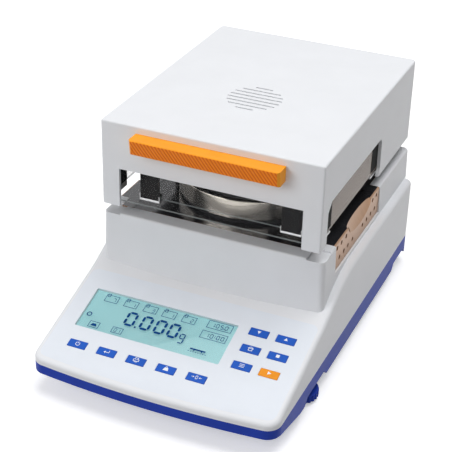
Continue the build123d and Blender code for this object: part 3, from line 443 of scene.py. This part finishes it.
strap_boxes, hook_boxes = [], []
for pane_name, side in (("left_pane", -1), ("right_pane", 1)):
    pane_low, pane_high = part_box(pane_name)
    outer_x = max(abs(pane_low.x), abs(pane_high.x))
    inner_x = min(abs(pane_low.x), abs(pane_high.x))
    foot_z = pane_low.z - STRAP_THICK
    hook_top = foot_z + HOOK_HEIGHT
    sheet_bottom = foot_z - STRAP_THICK
    inside = (inner_x - STRAP_THICK - STRAP_GAP, inner_x - STRAP_GAP)
    outside = (outer_x + SKIN_GAP, outer_x + SKIN_GAP + STRAP_SKIN)
    under = (inner_x - STRAP_GAP, outer_x + STRAP_SKIN)
    for place in STRAP_PLACES_Y:
        strap_boxes.append(mirrored_box(side, *inside, *place, hook_top, pane_high.z))
        strap_boxes.append(mirrored_box(side, *outside, *place, hook_top, pane_high.z))
        hook_boxes.append(mirrored_box(side, *inside, *place, sheet_bottom, hook_top))
        hook_boxes.append(mirrored_box(side, *under, *place, sheet_bottom, foot_z))
straps = boxes_piece("pane_straps", strap_boxes, STRAP_EASE, strap_black, "hood")
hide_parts("side_straps")
boxes_piece("strap_hooks", hook_boxes, HOOK_EASE, bright, "hood")

# Bright lips under the front hangers, with an ear at each end
HANGER_WIDE = 0.018
LIP_SIDE, LIP_UNDER, LIP_HEIGHT = 0.0004, 0.0003, 0.0016
LIP_FRONT, LIP_BACK = 0.0006, 0.0001
EAR_THICK, EAR_HEIGHT = 0.0005, 0.0060
EAR_START = 0.1
LIP_EASE = 0.0002
hanger_low, hanger_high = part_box("pane_hangers")
lip_front_y = hanger_low.y - LIP_FRONT
lip_low_z = hanger_low.z - LIP_UNDER
lip_boxes = []
for side in (-1, 1):
    xs = sorted((side * hanger_high.x, side * (hanger_high.x - HANGER_WIDE)))
    lip_boxes.append((
        (xs[0] - LIP_SIDE, lip_front_y, lip_low_z),
        (xs[1] + LIP_SIDE, hanger_low.y - LIP_BACK, hanger_low.z + LIP_HEIGHT),
    ))
    for x in xs:
        out = math.copysign(EAR_THICK, x - sum(xs) / 2)
        ends = sorted((x + out * EAR_START, x + out))
        lip_boxes.append((
            (ends[0], lip_front_y, lip_low_z),
            (ends[1], hanger_high.y, hanger_low.z + EAR_HEIGHT),
        ))
boxes_piece("hanger_lips", lip_boxes, LIP_EASE, bright, "hood")

# The panes' edges catch the light, shown as a pale, denser glass that is partly their own tint and
# partly painted highlight, and the hangers' hooks are bare metal.
# A face looks along an axis where its normal has at least this share of it
ALONG = 0.9
HOOK_TOP_Z = 0.1318
HOOK_FRONT_SHARE = -0.5
PANE_AXES = {"front_pane": "y", "inner_pane": "y", "left_pane": "x", "right_pane": "x"}
for pane_name, axis in PANE_AXES.items():
    split_by_face(nodes[pane_name], edge_glass, lambda f: abs(getattr(f.normal, axis)) < ALONG)
split_by_face(
    nodes["pane_hangers"], bright,
    lambda f: f.center.z < HOOK_TOP_Z and f.normal.y > HOOK_FRONT_SHARE,
)

# The grip's face has fine slanted ribs, as relief, with painted shade: the grooves are coloured
# darker
RIB_PITCH = 0.0027
RIB_SLANT = math.radians(35)
RIB_STRENGTH, RIB_DEPTH = 0.6, 0.0006
WAVE_RATE = 20
RIB_GROOVE_PAINTED_SHADE, RIB_HIGH = (0.76, 0.14, 0.006, 1), (0.94, 0.27, 0.014, 1)


def ribbed_plastic():
    """The grip's plastic with ribs, and painted shade in their grooves. The wave texture turns
    WAVE_RATE radians a unit.
    """
    m = material("orange_ribs", (0.80, 0.17, 0.008), 0.45, spread=0.05, scale=60, shine=0.15)
    tree = m.node_tree
    coords = first_node(tree, "ShaderNodeTexCoord")
    mapping = tree.nodes.new("ShaderNodeMapping")
    mapping.inputs["Rotation"].default_value = (0, RIB_SLANT, 0)
    wave = tree.nodes.new("ShaderNodeTexWave")
    wave.wave_type = "BANDS"
    wave.bands_direction = "X"
    wave.inputs["Scale"].default_value = 2 * math.pi / (WAVE_RATE * RIB_PITCH)
    tree.links.new(coords.outputs["Object"], mapping.inputs["Vector"])
    tree.links.new(mapping.outputs["Vector"], wave.inputs["Vector"])
    relief = tree.nodes.new("ShaderNodeBump")
    relief.inputs["Strength"].default_value = RIB_STRENGTH
    relief.inputs["Distance"].default_value = RIB_DEPTH
    tree.links.new(wave.outputs["Fac"], relief.inputs["Height"])
    tree.links.new(relief.outputs["Normal"], tree.nodes["Principled BSDF"].inputs["Normal"])
    # Painted shade: the grooves are coloured darker than the ribs' crests
    ramp = first_node(tree, "ShaderNodeValToRGB")
    ramp.color_ramp.elements[0].color = RIB_GROOVE_PAINTED_SHADE
    ramp.color_ramp.elements[1].color = RIB_HIGH
    tree.links.new(wave.outputs["Fac"], ramp.inputs["Fac"])
    return m


split_by_face(nodes["hood_grip"], ribbed_plastic(), lambda f: f.normal.y < -ALONG)


# Small flat shapes printed on the display and the keys, in millimetres on the panel
def flat_piece(name, polygons, out, skin, body):
    """Flat shapes on the panel's plane. Each polygon is a list of (x, up)."""
    points, faces = [], []
    for polygon in polygons:
        start = len(points)
        area = 0.0
        for (x0, u0), (x1, u1) in zip(polygon, polygon[1:] + polygon[:1]):
            area += x0 * u1 - x1 * u0
        ordered = polygon if area > 0 else polygon[::-1]
        points += [on_panel(x, up, out) for x, up in ordered]
        faces.append(list(range(start, start + len(ordered))))
    mesh = bpy.data.meshes.new(name)
    mesh.from_pydata(points, [], faces)
    mesh.materials.append(skin)
    o = mesh_object(name, mesh)
    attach(o, body)


def block(x0, u0, x1, u1):
    """A filled rectangle."""
    return [(x0, u0), (x1, u0), (x1, u1), (x0, u1)]


def bar(x0, u0, x1, u1, thick):
    """A straight stroke between two points."""
    length = math.hypot(x1 - x0, u1 - u0)
    nx = -(u1 - u0) / length * thick / 2
    nu = (x1 - x0) / length * thick / 2
    return [(x0 + nx, u0 + nu), (x1 + nx, u1 + nu), (x1 - nx, u1 - nu), (x0 - nx, u0 - nu)]


def outline(x0, u0, x1, u1, thick):
    """The four strokes of a rectangle."""
    h = thick / 2
    return [
        bar(x0 - h, u0, x1 + h, u0, thick),
        bar(x0 - h, u1, x1 + h, u1, thick),
        bar(x0, u0 + h, x0, u1 - h, thick),
        bar(x1, u0 + h, x1, u1 - h, thick),
    ]


def arc_ring(x, up, radius, thick, start=0, end=360, steps=24):
    """Short strokes round an arc."""
    shapes = []
    inner, outer = radius - thick / 2, radius + thick / 2
    for i in range(steps):
        a = math.radians(start + (end - start) * i / steps)
        b = math.radians(start + (end - start) * (i + 1) / steps)
        corners = ((inner, a), (outer, a), (outer, b), (inner, b))
        shapes.append([(x + r * math.cos(turn), up + r * math.sin(turn)) for r, turn in corners])
    return shapes


SEGMENTS = {
    "0": "abcdef", "1": "bc", "2": "abged", "3": "abgcd", "5": "afgcd", "7": "abc", "g": "afgbcd",
}
SEGMENT_GAP = 0.14


def digit(sign, x, up, wide, tall, thick):
    """A seven-segment digit whose lower left corner is at (x, up)."""
    gap = thick * SEGMENT_GAP
    t = thick / 2
    half = tall / 2

    def level(y):
        left, right = x + gap, x + wide - gap
        return [
            (left + t, y), (left + 2 * t, y + t), (right - 2 * t, y + t),
            (right - t, y), (right - 2 * t, y - t), (left + 2 * t, y - t),
        ]

    def upright(px, low, high):
        return [
            (px, low + gap), (px + t, low + gap + t), (px + t, high - gap - t),
            (px, high - gap), (px - t, high - gap - t), (px - t, low + gap + t),
        ]

    left, right = x + t, x + wide - t
    shapes = {
        "a": level(up + tall - t), "g": level(up + half), "d": level(up + t),
        "f": upright(left, up + half, up + tall - t), "b": upright(right, up + half, up + tall - t),
        "e": upright(left, up + t, up + half), "c": upright(right, up + t, up + half),
    }
    return [shapes[s] for s in SEGMENTS[sign]]


COLON_HEIGHTS = (0.3, 0.65)
COLON_STEP = 0.45


def number(text, x, up, wide, tall, thick, step):
    """A row of digits. A point takes no width of its own."""
    shapes = []
    place = x
    for sign in text:
        if sign == ".":
            dot = place - (step - wide) / 2
            shapes.append(block(dot - thick / 2, up, dot + thick / 2, up + thick))
        elif sign == ":":
            for share in COLON_HEIGHTS:
                low = up + tall * share
                shapes.append(block(place, low, place + thick, low + thick))
            place += step * COLON_STEP
        else:
            shapes += digit(sign, place, up, wide, tall, thick)
            place += step
    return shapes


# The reading: four digits, a point and a g for grams
DISPLAY_DEPTH = -0.08
READING_X = (-53.2, -38.6, -25.4, -12.8)
READING_LOW, READING_WIDE, READING_TALL, READING_THICK = -8.8, 10.0, 15.6, 2.3
reading = []
for x in READING_X:
    reading += digit("0", x, READING_LOW, READING_WIDE, READING_TALL, READING_THICK)
reading.append(block(-42.0, -9.0, -40.4, -7.2))
reading += digit("g", -0.8, -12.0, 5.2, 10.5, 1.1)
flat_piece("reading", reading, DISPLAY_DEPTH, ink, "base")

# The small boxes round it: five tabs with a digit, temperature and time, and the state symbols
THIN = 0.5
SMALL_NUMBER = {"wide": 2.9, "tall": 4.6, "thick": 0.65, "step": 4.0}
TABS = ((-80.3, "7"), (-61.5, "1"), (-42.8, "3"), (-25.0, "1"), (-6.5, "2"))
DASH_PLACES_X = (12.0, 14.2, 16.4, 18.6, 20.8, 23.0, 25.2, 27.4)
small = []
for x, sign in TABS:
    small += outline(x, 10.6, x + 12.0, 17.9, THIN)
    small += digit(sign, x + 7.4, 11.7, 2.7, 4.2, 0.5)
    small += outline(x + 1.0, 16.0, x + 3.2, 19.0, THIN)
small += outline(16.5, 11.8, 38.4, 19.7, THIN) + number("105.0", 20.0, 13.3, **SMALL_NUMBER)
small += outline(15.3, 0.0, 38.2, 7.9, THIN) + number("10:00", 19.5, 1.5, **SMALL_NUMBER)
small += arc_ring(35.0, 16.6, 0.6, 0.25, steps=10)
small += arc_ring(-85.4, -7.0, 2.0, 0.9)
small += outline(-80.6, -19.8, -71.4, -13.6, THIN) + outline(-58.8, -19.2, -49.3, -13.3, THIN)
small.append([(-79.0, -18.2), (-73.0, -18.2), (-74.4, -15.4), (-77.6, -15.4)])
small += digit("0", -56.8, -18.2, 2.4, 3.8, 0.4) + digit("1", -53.6, -18.2, 2.4, 3.8, 0.4)
small.append(bar(13.0, -13.6, 27.0, -13.6, 1.5))
small += [bar(16.5, -15.4, 18.0, -13.6, 0.8), bar(24.5, -15.4, 23.0, -13.6, 0.8)]
small += [bar(x, -16.4, x + 1.2, -16.4, 0.5) for x in DASH_PLACES_X]
flat_piece("readout_boxes", small, DISPLAY_DEPTH, ink, "base")

# White marks on the keys, each given round the middle of its key's face. A key's box also holds
# its stem, so the face's middle is a little further up the panel than the box's
STROKE, FINE_STROKE = 0.5, 0.4
MARK_OUT = 0.29
KEY_FACE_SHIFT = 1.05
key_marks = {
    "key_arrow_down": [[(-1.7, 1.3), (1.7, 1.3), (0, -1.6)]],
    "key_arrow_up": [[(-1.7, -1.3), (1.7, -1.3), (0, 1.6)]],
    "key_row_1": arc_ring(0, -0.2, 1.8, STROKE, 120, 420) + [bar(0, 0.2, 0, 2.4, STROKE)],
    "key_row_2": [
        bar(2.2, 1.6, 2.2, -0.6, STROKE),
        bar(2.45, -0.6, -1.2, -0.6, STROKE),
        [(-2.6, -0.6), (-1.0, -1.8), (-1.0, 0.6)],
    ],
    "key_row_3": (
        outline(-2.4, -1.1, 2.4, 0.7, STROKE)
        + outline(-1.3, 0.7, 1.3, 2.3, STROKE)
        + [bar(-1.3, -1.9, 1.3, -1.9, STROKE)]
    ),
    "key_row_4": (
        [[(-2.4, -2.0), (2.4, -2.0), (1.5, 1.0), (-1.5, 1.0)]]
        + arc_ring(0, 1.5, 0.7, FINE_STROKE, steps=12)
    ),
    "key_row_5": digit("0", -1.1, -1.8, 2.2, 3.6, STROKE) + [
        bar(-4.6, 0, -2.9, 0, FINE_STROKE),
        bar(4.6, 0, 2.9, 0, FINE_STROKE),
        [(-2.0, 0), (-3.1, 0.8), (-3.1, -0.8)],
        [(2.0, 0), (3.1, -0.8), (3.1, 0.8)],
    ],
    "key_block_left_middle": outline(-1.6, -1.9, 1.6, 0.4, STROKE) + [
        bar(-2.4, 0.3, 0, 2.1, STROKE),
        bar(2.4, 0.3, 0, 2.1, STROKE),
    ],
    "key_block_right_middle": [block(-1.5, -1.5, 1.5, 1.5)],
    "key_block_left_low": [bar(-2.2, up, 2.2, up, STROKE) for up in (-1.4, 0, 1.4)],
    "key_start": [[(-1.4, -1.7), (1.8, 0), (-1.4, 1.7)]],
}
for name, shapes in key_marks.items():
    key_low, key_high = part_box(name)
    middle = (key_low + key_high) / 2 / MM - PANEL_ORIGIN
    middle_up = middle.dot(PANEL_UP) + KEY_FACE_SHIFT
    placed = [[(middle.x + x, middle_up + up) for x, up in shape] for shape in shapes]
    flat_piece(name + "_mark", placed, MARK_OUT, white_ink, name)


# Floor and light
def seen_directly(tree):
    """A factor of 1 for what the camera sees straight, in a mirror or through glass."""
    path = tree.nodes.new("ShaderNodeLightPath")
    total = path.outputs["Is Camera Ray"]
    for kind in ("Is Glossy Ray", "Is Transmission Ray"):
        plus = tree.nodes.new("ShaderNodeMath")
        plus.operation = "ADD"
        plus.use_clamp = True
        tree.links.new(total, plus.inputs[0])
        tree.links.new(path.outputs[kind], plus.inputs[1])
        total = plus.outputs["Value"]
    return total


FLOOR_SIZE, FLOOR_Z = 8, -0.0002
FLOOR_COLOR, FLOOR_GLOW = (0.93, 0.93, 0.93), 0.42
FLOOR_DIM = (0.50, 0.49, 0.48, 1)
bpy.ops.mesh.primitive_plane_add(size=FLOOR_SIZE, location=(0, 0, FLOOR_Z))
floor = bpy.context.object
floor.name = "floor"
floor_skin = material("floor_white", FLOOR_COLOR, 0.85, spread=0.004, scale=4)
glow(floor_skin, (1, 1, 1), FLOOR_GLOW)
floor.data.materials.append(floor_skin)
floor_tree = floor_skin.node_tree
dim = floor_tree.nodes.new("ShaderNodeBsdfDiffuse")
dim.inputs["Color"].default_value = FLOOR_DIM
floor_mix = floor_tree.nodes.new("ShaderNodeMixShader")
floor_tree.links.new(seen_directly(floor_tree), floor_mix.inputs["Fac"])
floor_tree.links.new(dim.outputs["BSDF"], floor_mix.inputs[1])
floor_tree.links.new(floor_tree.nodes["Principled BSDF"].outputs["BSDF"], floor_mix.inputs[2])
floor_output = floor_tree.nodes["Material Output"]
floor_tree.links.new(floor_mix.outputs["Shader"], floor_output.inputs["Surface"])

FILL_COLOR, FILL_STRENGTH = (0.97, 0.98, 1.0, 1), 0.215
BACKDROP_COLOR, BACKDROP_STRENGTH = (1, 1, 1, 1), 1.0
world = bpy.data.worlds.new("studio")
bpy.context.scene.world = world
world.use_nodes = True
world_tree = world.node_tree
fill = world_tree.nodes["Background"]
fill.inputs["Color"].default_value = FILL_COLOR
fill.inputs["Strength"].default_value = FILL_STRENGTH
backdrop = world_tree.nodes.new("ShaderNodeBackground")
backdrop.inputs["Color"].default_value = BACKDROP_COLOR
backdrop.inputs["Strength"].default_value = BACKDROP_STRENGTH
world_mix = world_tree.nodes.new("ShaderNodeMixShader")
world_tree.links.new(seen_directly(world_tree), world_mix.inputs["Fac"])
world_tree.links.new(fill.outputs["Background"], world_mix.inputs[1])
world_tree.links.new(backdrop.outputs["Background"], world_mix.inputs[2])
world_output = world_tree.nodes["World Output"]
world_tree.links.new(world_mix.outputs["Shader"], world_output.inputs["Surface"])

LAMP_TARGET = Vector((0, 0, 0.1))
LAMPS = (
    ("top_soft", (0.30, 0.15, 1.9), (1.5, 1.5), 26.5, (1, 1, 1)),
    ("front_soft", (-0.9, -1.5, 1.0), (1.2, 1.0), 15.5, (1, 1, 1)),
    ("side_soft", (1.7, -0.1, 0.7), (1.0, 0.8), 0.8, (1.0, 0.97, 0.94)),
)
for lamp_name, place, size, power, color in LAMPS:
    lamp_data = bpy.data.lights.new(lamp_name, "AREA")
    lamp_data.shape = "RECTANGLE"
    lamp_data.size, lamp_data.size_y = size
    lamp_data.energy = power
    lamp_data.color = color
    lamp = bpy.data.objects.new(lamp_name, lamp_data)
    lamp.location = place
    lamp.rotation_mode = "QUATERNION"
    lamp.rotation_quaternion = (LAMP_TARGET - Vector(place)).to_track_quat("-Z", "Y")
    bpy.context.scene.collection.objects.link(lamp)

# Camera, at the photo's angle
AZIMUTH, ELEVATION, ROLL = (math.radians(a) for a in (23.270, 29.592, 1.4209))
CAMERA_PLACE = Vector((0.3740, -0.8971, 0.6493))
LENS, SENSOR_WIDTH = 99.72, 36
CLIP_NEAR, CLIP_FAR = 0.05, 30
back_dir = Vector((
    math.sin(AZIMUTH) * math.cos(ELEVATION),
    -math.cos(AZIMUTH) * math.cos(ELEVATION),
    math.sin(ELEVATION),
))
right_dir = Vector((0, 0, 1)).cross(back_dir).normalized()
up_dir = back_dir.cross(right_dir)
rolled_right = right_dir * math.cos(ROLL) + up_dir * math.sin(ROLL)
rolled_up = up_dir * math.cos(ROLL) - right_dir * math.sin(ROLL)
camera_data = bpy.data.cameras.new("camera")
camera_data.sensor_width = SENSOR_WIDTH
camera_data.lens = LENS
camera_data.clip_start = CLIP_NEAR
camera_data.clip_end = CLIP_FAR
camera = bpy.data.objects.new("camera", camera_data)
bpy.context.scene.collection.objects.link(camera)
camera_turn = Matrix((rolled_right, rolled_up, back_dir)).transposed()
camera.matrix_world = Matrix.Translation(CAMERA_PLACE) @ camera_turn.to_4x4()
bpy.context.scene.camera = camera
bpy.context.scene.view_settings.view_transform = "Standard"
